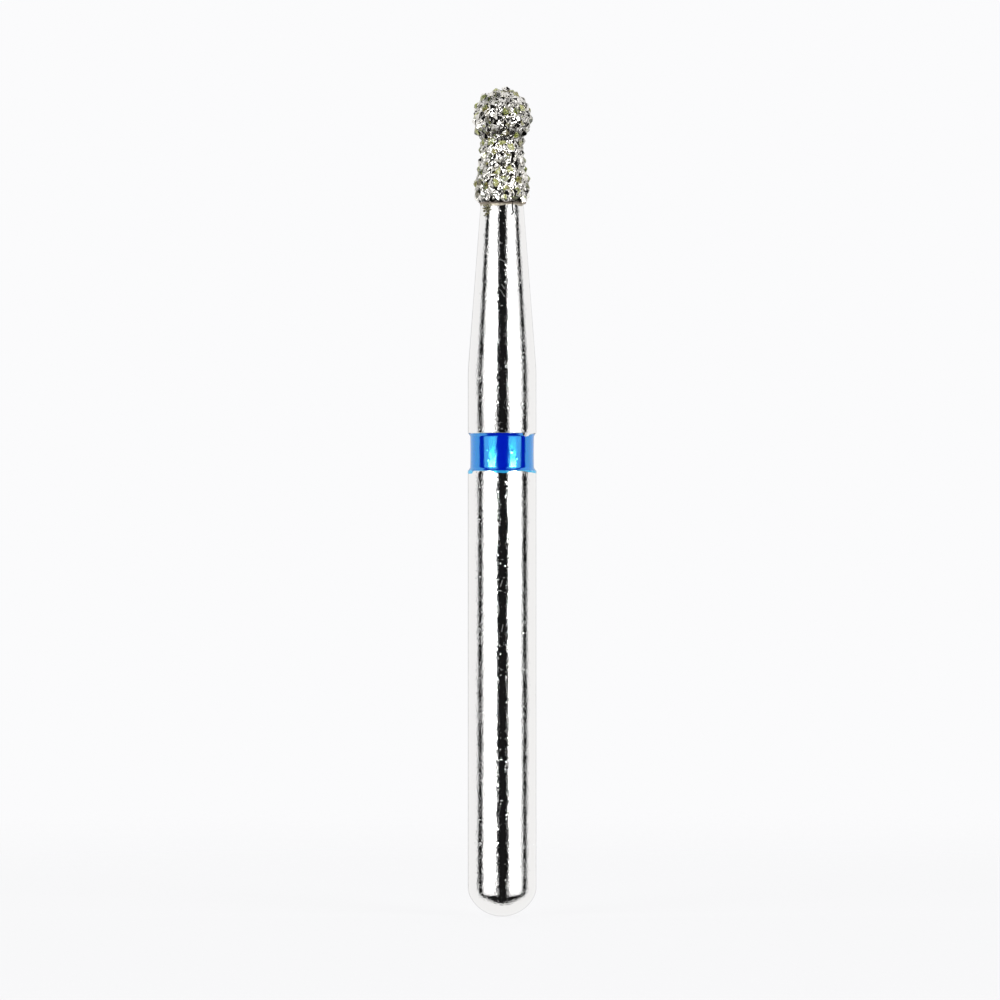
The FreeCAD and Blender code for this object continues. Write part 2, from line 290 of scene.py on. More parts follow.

# A belt round the head has the height of its middle, how far from there it is full, how far it
# reaches, and how strong it is. The waist and throat belts are painted shade; the skirt and stain
# belts are the nickel's own colour.
WAIST_SHADE_BELT = (WAIST_LOW, 0.30, 0.70, 0.14)
THROAT_SHADE_BELT = (height_of(136.0), 0.06, 0.26, 0.80)
SKIRT_BELT = (height_of(204.9), 0.0385, 0.055, 0.9)
STAIN_BELT = (height_of(203.4), 0.015, 0.030, 0.75)


def belt(tree, height, middle, inner, outer, most):
    """A share round the head: most within inner of a height, and fading to nothing at outer."""
    far = add(tree, "ShaderNodeMath", [height, middle * MM], operation="SUBTRACT")
    far = add(tree, "ShaderNodeMath", [far], operation="ABSOLUTE")
    return add(tree, "ShaderNodeMapRange", [far, inner * MM, outer * MM, most, 0.0])


def plated_nickel():
    """Electroplated nickel: bright flanks and crests, painted near-black shade in the crevices
    between them with more of it at the waist, painted dark shade in the throat under the ball, and
    a dull beige skirt with a brown stain along it."""
    material, tree = new_material("plated_nickel")
    place = add(tree, "ShaderNodeTexCoord").outputs["Object"]
    height = add(tree, "ShaderNodeSeparateXYZ", [place]).outputs["Z"]
    deep = add(tree, "ShaderNodeAttribute", attribute_name="deep").outputs["Fac"]
    lumps = add(tree, "ShaderNodeTexNoise", {
        "Vector": place, "Scale": scale_for(LUMP_WIDTH), "Detail": 1.5, "Roughness": 0.5})
    relief = add(tree, "ShaderNodeBump", {"Height": lumps, "Distance": LUMP_DEPTH * MM})
    patches = add(tree, "ShaderNodeTexNoise", {
        "Vector": place, "Scale": scale_for(PATCH_WIDTH), "Detail": 2.0})
    tint = add(tree, "ShaderNodeTexNoise", {
        "Vector": place, "Scale": scale_for(TINT_WIDTH), "Detail": 1.0})
    tint = add(tree, "ShaderNodeMapRange", [tint, *TINT_RUN])
    colour = add(tree, "ShaderNodeMix", [tint, linear("#C6C3BC"), linear("#F8F5F0")],
                 data_type="RGBA")
    # Painted shade: the patches, pushed up by the waist belt, turn the nickel near black in the
    # crevices away from the crystals.
    waist = belt(tree, height, *WAIST_SHADE_BELT)
    painted_crevice_shade = add(tree, "ShaderNodeMath", [patches, waist], operation="ADD")
    painted_crevice_shade = add(tree, "ShaderNodeMapRange", [painted_crevice_shade, *CREVICE_SHADE_RUN])
    lack = add(tree, "ShaderNodeMath", [deep, 1.0], operation="SUBTRACT")
    painted_crevice_shade = add(tree, "ShaderNodeMath", [painted_crevice_shade, deep, lack], operation="MULTIPLY_ADD",
               use_clamp=True)
    # Painted shade in the throat under the ball, in patches, where the ball's underside falls
    # dark.
    throat = belt(tree, height, *THROAT_SHADE_BELT)
    patchy = add(tree, "ShaderNodeMapRange", [patches, *THROAT_SHADE_RUN])
    throat_shade = add(tree, "ShaderNodeMath", [throat, patchy], operation="MULTIPLY")
    skirt = belt(tree, height, *SKIRT_BELT)
    stain = belt(tree, height, *STAIN_BELT)
    # The first two shares are painted shade; the skirt and the stain are the nickel's own colour.
    for share, hex_colour in ((painted_crevice_shade, "#100F0C"), (throat_shade, "#2A2823"), (skirt, "#BDB5A4"),
                              (stain, "#85786C")):
        colour = add(tree, "ShaderNodeMix", [share, colour, linear(hex_colour)],
                     data_type="RGBA")
    roughness = add(tree, "ShaderNodeMath", [skirt, SKIRT_ROUGHNESS, POLISH],
                    operation="MULTIPLY_ADD")
    finish_material(tree, {
        "Base Color": colour, "Metallic": 1.0, "Roughness": roughness, "Normal": relief})
    return material


SPECKLE_WIDTH = 0.04


def spilt_plating():
    """Plating and grit dust spilt on the neck: dull olive-brown crumbs, and a hairline that is
    nearly black."""
    material, tree = new_material("spilt_plating")
    place = add(tree, "ShaderNodeTexCoord").outputs["Object"]
    dark = add(tree, "ShaderNodeAttribute", attribute_name="dark").outputs["Fac"]
    specks = add(tree, "ShaderNodeTexNoise", {
        "Vector": place, "Scale": scale_for(SPECKLE_WIDTH), "Detail": 2.0})
    colour = add(tree, "ShaderNodeValToRGB", [specks])
    set_stops(colour.color_ramp, [(0.38, "#16140C"), (0.50, "#5E5A3C"), (0.62, "#A8A58C")])
    colour = add(tree, "ShaderNodeMix", [dark, colour, linear("#15110D")], data_type="RGBA")
    finish_material(tree, {
        "Base Color": colour, "Metallic": 0.0, "Roughness": 0.7, "Specular IOR Level": 0.2})
    return material


# Diamond

CLOUD_WIDTH, CLOUD_DEPTH, CLOUD_RUN = 0.045, 0.010, (0.3, 0.7, -0.4, 0.4)
AMBER_WIDTH, AMBER_RUN = 0.22, (0.52, 0.60, 0.0, 0.6)
TONE_REACH, DARKEST_TONE = 0.7, 0.15


def diamond():
    """Synthetic diamond of metal-bond grade: cloudy yellow-green blocks with glassy faces, some
    of them stained amber."""
    material, tree = new_material("diamond")
    place = add(tree, "ShaderNodeTexCoord").outputs["Object"]
    tone = add(tree, "ShaderNodeAttribute", attribute_name="tone").outputs["Fac"]
    clouds = add(tree, "ShaderNodeTexNoise", {
        "Vector": place, "Scale": scale_for(CLOUD_WIDTH), "Detail": 2.0})
    relief = add(tree, "ShaderNodeBump", {"Height": clouds, "Distance": CLOUD_DEPTH * MM})
    cloudy = add(tree, "ShaderNodeMapRange", [clouds, *CLOUD_RUN])
    shade = add(tree, "ShaderNodeMath", [tone, TONE_REACH, cloudy], operation="MULTIPLY_ADD")
    shade = add(tree, "ShaderNodeMath", [shade, DARKEST_TONE], operation="ADD")
    colour = add(tree, "ShaderNodeValToRGB", [shade])
    set_stops(colour.color_ramp, [
        (0.08, "#0E1008"), (0.35, "#3F4716"), (0.62, "#737C2C"), (0.9, "#ABAC66")])
    amber = add(tree, "ShaderNodeTexNoise", {
        "Vector": place, "Scale": scale_for(AMBER_WIDTH), "Detail": 1.0})
    amber = add(tree, "ShaderNodeMapRange", [amber, *AMBER_RUN])
    colour = add(tree, "ShaderNodeMix", [amber, colour, linear("#6A5A34")], data_type="RGBA")
    finish_material(tree, {
        "Base Color": colour, "Roughness": 0.12, "IOR": 2.42, "Normal": relief})
    return material


# Mesh helpers

def new_piece(name, points, faces, material):
    """A mesh object at the origin, its points given in millimetres."""
    mesh = bpy.data.meshes.new(name)
    mesh.from_pydata([[part * MM for part in point] for point in points], [], faces)
    mesh.materials.append(material)
    piece = bpy.data.objects.new(name, mesh)
    bpy.context.scene.collection.objects.link(piece)
    return piece


def smooth(piece, sharp_above=40):
    """Smooth shading, but for edges that turn more than an angle in degrees."""
    piece.data.shade_smooth()
    piece.data.set_sharp_from_angle(angle=math.radians(sharp_above))


def arc(centre, radius, start, end, steps):
    """Points of an arc as (radius, height); the angles are in degrees from straight out."""
    angles = [math.radians(start + (end - start) * i / steps) for i in range(steps + 1)]
    return [(centre[0] + radius * math.cos(a), centre[1] + radius * math.sin(a)) for a in angles]


def spaced(outline, step):
    """The outline with points added, so that none are further apart than step."""
    points = [outline[0]]
    for start, end in zip(outline, outline[1:]):
        parts = max(1, math.ceil(math.dist(start, end) / step))
        points += [tuple(s + (e - s) * i / parts for s, e in zip(start, end))
                   for i in range(1, parts + 1)]
    return points


def rounded(outline, passes):
    """The outline with its corners cut again and again, which leaves smooth curves."""
    for _ in range(passes):
        cut = [outline[0]]
        for start, end in zip(outline, outline[1:]):
            for share in (0.25, 0.75):
                cut.append(tuple(s + (e - s) * share for s, e in zip(start, end)))
        outline = cut + [outline[-1]]
    return outline


def set_values(piece, name, values):
    """A number for each point of the mesh, which materials and node trees can read."""
    attribute = piece.data.attributes.new(name, "FLOAT", "POINT")
    attribute.data.foreach_set("value", values)


POLE = 1e-6


def lathe(outline, turns, closed=False):
    """Points and faces of an outline turned about the axis, from (radius, height) pairs."""
    points, rings, faces = [], [], []
    for radius, height in outline:
        first = len(points)
        if radius < POLE:
            points.append((0, 0, height))
            rings.append([first] * turns)
            continue
        rings.append(list(range(first, first + turns)))
        for i in range(turns):
            angle = math.tau * i / turns
            points.append((radius * math.cos(angle), radius * math.sin(angle), height))
    for low, high in zip(rings, rings[1:] + rings[:1] if closed else rings[1:]):
        for i in range(turns):
            j = (i + 1) % turns
            corners = list(dict.fromkeys((low[i], low[j], high[j], high[i])))
            if len(corners) > 2:
                faces.append(corners)
    return points, faces


# Steel blank

BLANK_TURNS = 256
DOME_STEPS, EDGE_STEPS, CORNER_STEPS, BALL_STEPS = 24, 16, 4, 24
CORNER = 0.012
BLEND_REACH, BLEND_DROP, BLEND_PASSES = 0.35, 0.027, 3


def throat_angle(waist, ball):
    """Where a ball leaves the waist below it, in degrees from straight out."""
    return -math.degrees(math.acos(waist / ball))


def blank_outline():
    edge_x = SHANK_RADIUS - EDGE_RADIUS
    edge_drop = math.sqrt((DOME_RADIUS - EDGE_RADIUS) ** 2 - edge_x ** 2)
    join = math.degrees(math.atan2(-edge_drop, edge_x))
    wall, floor = SHANK_RADIUS - GROOVE_WALL, SHANK_RADIUS - GROOVE_DEPTH
    inset = SHANK_RADIUS - CORNER
    outline = [(0, 0)] + arc((0, DOME_RADIUS), DOME_RADIUS, -90, join, DOME_STEPS)[1:]
    outline += arc((edge_x, DOME_RADIUS - edge_drop), EDGE_RADIUS, join, 0, EDGE_STEPS)[1:]
    outline += arc((inset, BAND_LOW - CORNER), CORNER, 0, 90, CORNER_STEPS)
    outline += [(wall, BAND_LOW), (floor, BAND_MIDDLE), (wall, BAND_HIGH)]
    outline += arc((inset, BAND_HIGH + CORNER), CORNER, -90, 0, CORNER_STEPS)
    blend = [(SHANK_RADIUS, NECK_FOOT[1] - BLEND_REACH), NECK_FOOT,
             (SHANK_RADIUS - BLEND_DROP, NECK_FOOT[1] + BLEND_REACH)]
    outline += rounded(blend, BLEND_PASSES)
    outline += [NECK_TOP, (COLLAR_RADIUS, COLLAR_LOW), (COLLAR_RADIUS, COLLAR_HIGH)]
    outline += [(WAIST_RADIUS, WAIST_LOW)]
    throat = throat_angle(WAIST_RADIUS, BALL_RADIUS)
    outline += arc((0, BALL_HEIGHT), BALL_RADIUS, throat, 90, BALL_STEPS)[:-1]
    return outline + [(0, BALL_HEIGHT + BALL_RADIUS)]


def make_blank():
    piece = new_piece("ground_blank", *lathe(blank_outline(), BLANK_TURNS), STEEL)
    smooth(piece)
    return piece


# Lacquer band

LACQUER_TURNS, LACQUER_ROWS = 360, 48
LACQUER_MIDDLE, LACQUER_BOW = 0.04, 0.006
RIM, TOP_STEP, FOOT_STEP = 0.17, 0.010, 0.008
FILM = 0.004
EDGE_TAPER, TAPER_SLOPE, THIN_ABOVE = 0.015, 0.6, 0.008
LOWER_EDGE = [(467.9, 474.4), (471.5, 474.2), (474.0, 471.2), (484.0, 470.8), (490.0, 471.8),
              (497.0, 473.4), (505.0, 473.6), (511.0, 471.8), (523.0, 471.6), (530.0, 472.8),
              (536.3, 473.8)]
UPPER_EDGE = [(467.9, 433.6), (496.0, 433.2), (522.5, 433.4), (524.6, 435.6), (527.0, 436.8),
              (530.0, 436.2), (533.5, 434.4), (536.3, 433.6)]
PITS = [(512.6, 451.5, 2.0), (517.5, 458.5, 1.6), (486.5, 450.0, 1.2), (488.0, 460.0, 1.4),
        (519.5, 439.5, 1.3)]
PIT_DEPTH = 0.006
FADE_TO_BACK = 0.25
LOWER_DRIFT, UPPER_DRIFT = 0.0, 9.0

# Each wobble of an edge has how fast it changes, and how far it goes.
WOBBLES = [(3.0, 0.05), (14.0, 0.012)]


def ragged(corners, angle, drift):
    """Height of a ragged edge at an angle from the front: as drawn where the photograph shows
    it, and a slow wobble with a fine one on it round the back."""
    spot = Vector((math.sin(angle), math.cos(angle), drift))
    wobble = sum(noise.noise(spot * rate) * reach for rate, reach in WOBBLES)
    plain = height_of((corners[0][1] + corners[-1][1]) / 2) + wobble
    if math.cos(angle) <= 0:
        return plain
    column = AXIS_COLUMN + math.sin(angle) * SHANK_RADIUS / PIXEL
    for (left, row), (right, next_row) in zip(corners, corners[1:]):
        if left <= column <= right:
            share = (column - left) / (right - left)
            share = share * share * (3 - 2 * share)
            drawn = height_of(row + (next_row - row) * share)
            facing = min(1, math.cos(angle) / FADE_TO_BACK)
            return drawn * facing + plain * (1 - facing)
    return plain


def from_middle(height):
    """How far up or down the groove a height lies: 0 in its middle, -1 and 1 at its walls."""
    return (height - BAND_MIDDLE) / ((BAND_HIGH - BAND_LOW) / 2)


def groove_floor(height):
    return SHANK_RADIUS - GROOVE_DEPTH + (GROOVE_DEPTH - GROOVE_WALL) * abs(from_middle(height))


def lacquer_radius(height):
    """Radius of the lacquer's face: hollow in the groove, its rims steep, a film where it
    overruns the shank below."""
    share = from_middle(height)
    if share <= -1:
        return SHANK_RADIUS + FILM
    rim_radius = SHANK_RADIUS - (TOP_STEP if share > 0 else FOOT_STEP)
    face = SHANK_RADIUS - GROOVE_DEPTH + LACQUER_MIDDLE + LACQUER_BOW * share ** 2
    climb = max(0, min(1, (abs(share) - 1 + RIM) / RIM))
    return face + (rim_radius - face) * climb


def pit_drop(angle, height):
    """How far the face sinks at the pits that show in its gloss."""
    drop = 0
    for column, row, width in PITS:
        across = (angle - angle_of(column)) * SHANK_RADIUS
        far = math.hypot(across, height - height_of(row)) / (width * PIXEL / 2)
        drop += PIT_DEPTH * math.exp(-far ** 2)
    return drop


def make_lacquer():
    points, faces, thin = [], [], []
    for i in range(LACQUER_TURNS):
        angle = math.tau * i / LACQUER_TURNS
        from_front = (angle + math.pi) % math.tau - math.pi
        low = ragged(LOWER_EDGE, angle, LOWER_DRIFT)
        high = ragged(UPPER_EDGE, angle, UPPER_DRIFT)
        section = []
        for k in range(LACQUER_ROWS + 1):
            height = low + (high - low) * (k / LACQUER_ROWS)
            radius = lacquer_radius(height) - pit_drop(from_front, height)
            radius -= max(0, EDGE_TAPER - (height - low)) * TAPER_SLOPE
            section.append((radius, height))
            thin.append(max(0, min(1, (BAND_LOW + THIN_ABOVE - height) / THIN_ABOVE)))
        for height in (min(high, BAND_HIGH), BAND_MIDDLE, max(low, BAND_LOW)):
            section.append((groove_floor(height), height))
            thin.append(0)
        for radius, height in section:
            points.append((radius * math.sin(angle), -radius * math.cos(angle), height))
    per = len(section)
    for i in range(LACQUER_TURNS):
        j = (i + 1) % LACQUER_TURNS
        for k in range(per):
            m = (k + 1) % per
            faces.append((i * per + k, j * per + k, j * per + m, i * per + m))
    piece = new_piece("lacquer_ring", points, faces, LACQUER)
    set_values(piece, "thin", thin)
    smooth(piece, sharp_above=60)
    return piece


# Crystals

CUTS, LEAST_CUT = (0.12, 0.42), 0.05
CHIP = 0.004
TONES = (0.0, 1.0)


def random_corners(draw, centre, width, shares):
    """The six corners of an octahedron, the two ends of each axis together."""
    corners = []
    for axis in range(3):
        arm = Vector()
        arm[axis] = width / 2 * draw.uniform(*shares)
        corners += [centre + arm, centre - arm]
    return corners


def truncated(corners, draw):
    """Points and faces of an octahedron with each corner cut off by a random share.

    corners lists the two ends of each axis in turn."""
    cuts = [draw.uniform(*CUTS) for _ in corners]
    spots, points = {}, []
    for a in range(6):
        for b in range(6):
            if a // 2 != b // 2:
                spots[a, b] = len(points)
                jitter = Vector([draw.uniform(-CHIP, CHIP) for _ in range(3)])
                points.append(corners[a].lerp(corners[b], cuts[a] / 2 + LEAST_CUT) + jitter)
    faces = []
    for ends in range(8):
        a, b, c = (2 * axis + (ends >> axis & 1) for axis in range(3))
        face = [spots[pair] for pair in ((a, b), (b, a), (b, c), (c, b), (c, a), (a, c))]
        faces.append(face if bin(ends).count("1") % 2 == 0 else face[::-1])
    for a in range(6):
        one, two = ([b for b in range(6) if b // 2 == (a // 2 + k) % 3] for k in (1, 2))
        face = [spots[a, one[0]], spots[a, two[0]], spots[a, one[1]], spots[a, two[1]]]
        faces.append(face if a % 2 == 0 else face[::-1])
    return points, faces


CORNER_DIGITS = 4


def merged_islands(node):
    """Corner points of each loose block of a CAD node, in millimetres."""
    mesh = frame["nodes"][node].data
    parent = {}

    def root(key):
        while parent[key] != key:
            key = parent[key]
        return key

    keys = [tuple(round(part / MM, CORNER_DIGITS) for part in vertex.co)
            for vertex in mesh.vertices]
    for key in keys:
        parent.setdefault(key, key)
    for face in mesh.polygons:
        first, *others = [keys[i] for i in face.vertices]
        for other in others:
            parent[root(other)] = root(first)
    islands = {}
    for key in parent:
        islands.setdefault(root(key), []).append(Vector(key))
    return sorted(islands.values(), key=lambda island: tuple(island[0]))


def paired(corners):
    """The six corners of an octahedron put in the order of its three axes, ends together."""
    centre = sum(corners, Vector()) / len(corners)
    left, ordered = list(corners), []
    while left:
        one = left.pop(0)
        two = min(left, key=lambda other: ((one + other) / 2 - centre).length)
        left.remove(two)
        ordered += [one, two]
    arms = [ordered[i] - centre for i in (0, 2, 4)]
    if arms[0].cross(arms[1]).dot(arms[2]) < 0:
        ordered[0], ordered[1] = ordered[1], ordered[0]
    return ordered


def out_and_along(place):
    """Level directions at a place: straight out from the axis, and along the skin."""
    outward = Vector((place.x, place.y, 0)).normalized()
    return outward, outward.cross(Vector((0, 0, 1)))


PLATED_SHARE, HALF_SHARE = 0.32, 0.34
GROWTH = 1.06
HALF_SHIFT = 0.055


def grown_over(block, draw):
    """The nickel on a crystal: over the whole of it, over one side, or none."""
    state = draw.random()
    if state > PLATED_SHARE + HALF_SHARE:
        return None
    centre = sum(block, Vector()) / len(block)
    shift = Vector()
    if state > PLATED_SHARE:
        outward, along = out_and_along(centre)
        turn = draw.uniform(0, math.tau)
        shift = (along * math.cos(turn) + Vector((0, 0, 1)) * math.sin(turn)) * HALF_SHIFT
    return [centre + (point - centre) * GROWTH + shift for point in block]


CRYSTAL_SEED = 11


def make_crystals():
    """The seated crystals, and the blocks of nickel that have grown over some of them."""
    draw = random.Random(CRYSTAL_SEED)
    points, faces, tones = [], [], []
    caps, cap_faces = [], []
    for corners in merged_islands("diamond_grit"):
        block, rings = truncated(paired(corners), draw)
        faces += [[len(points) + i for i in ring] for ring in rings]
        points += block
        tones += [draw.uniform(*TONES)] * len(block)
        cap = grown_over(block, draw)
        if cap:
            cap_faces += [[len(caps) + i for i in ring] for ring in rings]
            caps += cap
    piece = new_piece("seated_crystals", points, faces, DIAMOND)
    set_values(piece, "tone", tones)
    return piece, new_piece("plated_crystals", caps, cap_faces, NICKEL)


# Outline of the nickel coat

COAT_TURNS, COAT_STEP = 256, 0.016
COAT_BALL_STEPS, COAT_PASSES = 12, 2
SKIRT_LENGTH, SKIRT = 0.10, 0.014
SKIRT_SINK, SKIRT_GAP = 0.004, 0.01


def neck_radius(height):
    slope = (NECK_FOOT[0] - NECK_TOP[0]) / (NECK_TOP[1] - NECK_FOOT[1])
    return NECK_TOP[0] + (NECK_TOP[1] - height) * slope


def coat_outline():
    """The coat's outside, from the foot of its skirt up to its top."""
    skirt_low = COAT_FOOT - SKIRT_LENGTH
    side = [(neck_radius(skirt_low) - SKIRT_SINK, skirt_low),
            (neck_radius(COAT_FOOT) + SKIRT, COAT_FOOT - SKIRT_GAP),
            (neck_radius(COAT_FOOT) + COAT, COAT_FOOT + COAT)]
    side += [(NECK_TOP[0] + COAT, NECK_TOP[1]), (COLLAR_RADIUS + COAT, COLLAR_LOW),
             (COLLAR_RADIUS + COAT, COLLAR_HIGH), (WAIST_RADIUS + COAT, WAIST_LOW)]
    outer = BALL_RADIUS + COAT
    throat = throat_angle(WAIST_RADIUS + COAT, outer)
    ball = arc((0, BALL_HEIGHT), outer, throat, 90, COAT_BALL_STEPS)
    return rounded(side + ball[:-1], COAT_PASSES) + [(0, BALL_HEIGHT + outer)]


# Node trees for the grains and the coat

def new_tree(name, sockets):
    """A node tree, with the outputs that its named inputs arrive on."""
    tree = bpy.data.node_groups.new(name, "GeometryNodeTree")
    tree.interface.new_socket("Geometry", in_out="INPUT", socket_type="NodeSocketGeometry")
    for socket, kind in sockets.items():
        tree.interface.new_socket(socket, in_out="INPUT", socket_type=f"NodeSocket{kind}")
    tree.interface.new_socket("Geometry", in_out="OUTPUT", socket_type="NodeSocketGeometry")
    return tree, add(tree, "NodeGroupInput").outputs


def finish_tree(tree, geometry, material):
    real = add(tree, "GeometryNodeRealizeInstances", [geometry])
    done = add(tree, "GeometryNodeSetMaterial", {"Geometry": real, "Material": material})
    add(tree, "NodeGroupOutput", [done])


def run_nodes(piece, tree, values):
    """Runs a node tree on a piece and keeps the result as its plain mesh."""
    modifier = piece.modifiers.new(tree.name, "NODES")
    modifier.node_group = tree
    for item in tree.interface.items_tree:
        if item.item_type == "SOCKET" and item.in_out == "INPUT" and item.name in values:
            modifier[item.identifier] = values[item.name]
    graph = bpy.context.evaluated_depsgraph_get()
    mesh = bpy.data.meshes.new_from_object(piece.evaluated_get(graph))
    piece.modifiers.clear()
    old = piece.data
    piece.data = mesh
    bpy.data.meshes.remove(old)


CASTS_PER_SQUARE_METRE = 4e8
TONE_SEED = 5


def grain_tree():
    """Small crystals strewn over a surface where the seated ones leave it bare."""
    tree, given = new_tree("fill_in_grains", {
        "Seated": "Object", "Shapes": "Collection", "Spacing": "Float", "Clearance": "Float",
        "Smallest": "Float", "Largest": "Float", "Lowest": "Float", "Seed": "Int",
        "Material": "Material"})
    scatter = add(tree, "GeometryNodeDistributePointsOnFaces", {
        "Mesh": given["Geometry"], "Distance Min": given["Spacing"],
        "Density Max": CASTS_PER_SQUARE_METRE, "Seed": given["Seed"]},
        distribute_method="POISSON")
    seated = add(tree, "GeometryNodeObjectInfo", [given["Seated"]]).outputs["Geometry"]
    near = add(tree, "GeometryNodeProximity", [seated]).outputs["Distance"]
    crowded = add(tree, "FunctionNodeCompare", [near, given["Clearance"]], operation="LESS_THAN")
    place = add(tree, "GeometryNodeInputPosition")
    height = add(tree, "ShaderNodeSeparateXYZ", [place]).outputs["Z"]
    low = add(tree, "FunctionNodeCompare", [height, given["Lowest"]], operation="LESS_THAN")
    drop = add(tree, "FunctionNodeBooleanMath", [crowded, low], operation="OR")
    free = add(tree, "GeometryNodeDeleteGeometry", [scatter, drop])
    shapes = add(tree, "GeometryNodeCollectionInfo", {
        "Collection": given["Shapes"], "Separate Children": True})
    turn = add(tree, "FunctionNodeRandomValue", {
        "Min": (0, 0, 0), "Max": (math.tau, math.tau, math.tau), "Seed": given["Seed"]},
        data_type="FLOAT_VECTOR")
    width = add(tree, "FunctionNodeRandomValue", {
        "Min": given["Smallest"], "Max": given["Largest"], "Seed": given["Seed"]})
    strewn = add(tree, "GeometryNodeInstanceOnPoints", {
        "Points": free, "Instance": shapes, "Pick Instance": True, "Rotation": turn,
        "Scale": width})
    tone = add(tree, "FunctionNodeRandomValue", {"Seed": TONE_SEED})
    toned = add(tree, "GeometryNodeStoreNamedAttribute", {
        "Geometry": strewn, "Name": "tone", "Value": tone}, domain="INSTANCE",
        data_type="FLOAT")
    finish_tree(tree, toned, given["Material"])
    return tree


def coat_tree():
    """Nickel swells where it meets a crystal and stays lumpy between."""
    tree, given = new_tree("growing_nickel", {
        "Grit": "Object", "Creep": "Float", "Reach": "Float", "Lump Height": "Float",
        "Lump Width": "Float", "Crevice Shade Start": "Float", "Crevice Shade End": "Float",
        "Material": "Material"})
    grit = add(tree, "GeometryNodeObjectInfo", [given["Grit"]]).outputs["Geometry"]
    near = add(tree, "GeometryNodeProximity", [grit]).outputs["Distance"]
    # deep marks the nickel away from the crystals, where the nickel material paints crevice shade.
    deep = add(tree, "ShaderNodeMapRange", [near, given["Crevice Shade Start"], given["Crevice Shade End"]])
    share = add(tree, "ShaderNodeMath", [near, given["Reach"]], operation="DIVIDE")
    share = add(tree, "ShaderNodeMath", [share, -1.0], operation="MULTIPLY")
    swell = add(tree, "ShaderNodeMath", [share], operation="EXPONENT")
    creep = add(tree, "ShaderNodeMath", [swell, given["Creep"]], operation="MULTIPLY")
    scale = add(tree, "ShaderNodeMath", [1.0, given["Lump Width"]], operation="DIVIDE")
    lumps = add(tree, "ShaderNodeTexNoise", {"Scale": scale, "Detail": 2.0})
    centred = add(tree, "ShaderNodeMath", [lumps, 0.5], operation="SUBTRACT")
    rise = add(tree, "ShaderNodeMath", [centred, given["Lump Height"], creep],
               operation="MULTIPLY_ADD")
    outside = add(tree, "GeometryNodeInputNamedAttribute", {"Name": "outside"},
                  data_type="FLOAT")
    rise = add(tree, "ShaderNodeMath", [rise, outside], operation="MULTIPLY")
    normal = add(tree, "GeometryNodeInputNormal")
    shift = add(tree, "ShaderNodeVectorMath", [normal, rise], operation="SCALE")
    marked = add(tree, "GeometryNodeStoreNamedAttribute", {
        "Geometry": given["Geometry"], "Name": "deep", "Value": deep}, data_type="FLOAT")
    moved = add(tree, "GeometryNodeSetPosition", {"Geometry": marked, "Offset": shift})
    finish_tree(tree, moved, given["Material"])
    return tree


# Small grains

GRAIN_SHAPES, GRAIN_SHAPE_SEED = 5, 3
GRAIN_SHARES = (0.75, 1.1)
BED_STEP, BED_TURNS = 0.05, 96
GRAINS_START = 0.05


def make_grain_shapes():
    """A few crystals a metre wide, for the small grains to be copies of, scaled down."""
    shapes = bpy.data.collections.new("grain_shapes")
    draw = random.Random(GRAIN_SHAPE_SEED)
    for i in range(GRAIN_SHAPES):
        points, faces = truncated(random_corners(draw, Vector(), 1, GRAIN_SHARES), draw)
        piece = new_piece(f"grain_{i}", [point / MM for point in points], faces, DIAMOND)
        bpy.context.scene.collection.objects.unlink(piece)
        shapes.objects.link(piece)
    return shapes


def joined_copy(name, *pieces):
    points, faces = [], []
    for piece in pieces:
        faces += [[len(points) + i for i in face.vertices] for face in piece.data.polygons]
        points += [vertex.co / MM for vertex in piece.data.vertices]
    return new_piece(name, points, faces, DIAMOND)


def make_grains(name, material, taken, spacing, clearance, smallest, largest, seed):
    """Small grains strewn over the coat, clear of the pieces that have taken their place."""
    bed = lathe(spaced(coat_outline(), BED_STEP), BED_TURNS)
    grains = new_piece(name, *bed, material)
    shapes, seated = make_grain_shapes(), joined_copy("taken", *taken)
    run_nodes(grains, grain_tree(), {
        "Seated": seated, "Shapes": shapes, "Spacing": spacing * MM,
        "Clearance": clearance * MM, "Smallest": smallest * MM, "Largest": largest * MM,
        "Lowest": (COAT_FOOT + GRAINS_START) * MM, "Seed": seed, "Material": material})
    for shape in list(shapes.objects) + [seated]:
        bpy.data.objects.remove(shape)
    bpy.data.collections.remove(shapes)
    return grains


# Nickel coat

INNER_ARC_END, INNER_ARC_STEPS = -44, 16
CREEP, CREEP_REACH = 0.040, 0.030
COAT_LUMP_HEIGHT, COAT_LUMP_WIDTH = 0.035, 0.14
# How far from the grit the painted crevice shade begins, and where it is full.
CREVICE_SHADE_START, CREVICE_SHADE_END = 0.004, 0.018


def make_coat(*grit):
    outside = spaced(coat_outline(), COAT_STEP)
    inside = [(0, BALL_HEIGHT + BALL_RADIUS)]
    inside += arc((0, BALL_HEIGHT), BALL_RADIUS, 90, INNER_ARC_END, INNER_ARC_STEPS)[1:]
    inside += [(WAIST_RADIUS, WAIST_LOW), (COLLAR_RADIUS, COLLAR_HIGH),
               (COLLAR_RADIUS, COLLAR_LOW), NECK_TOP]
    points, faces = lathe(outside + inside, COAT_TURNS, closed=True)
    coat = new_piece("nickel_coat", points, faces, NICKEL)
    skin = sum(1 if radius < POLE else COAT_TURNS for radius, height in outside)
    set_values(coat, "outside", [1.0 if i < skin else 0.0 for i in range(len(points))])
    both = joined_copy("all_grit", *grit)
    run_nodes(coat, coat_tree(), {
        "Grit": both, "Creep": CREEP * MM, "Reach": CREEP_REACH * MM,
        "Lump Height": COAT_LUMP_HEIGHT * MM, "Lump Width": COAT_LUMP_WIDTH * MM,
        "Crevice Shade Start": CREVICE_SHADE_START * MM, "Crevice Shade End": CREVICE_SHADE_END * MM, "Material": NICKEL})
    bpy.data.objects.remove(both)
    smooth(coat, sharp_above=180)
    return coat


# Spilt plating on the neck, just below the coat: a patch of dull crumbs and a dark hairline

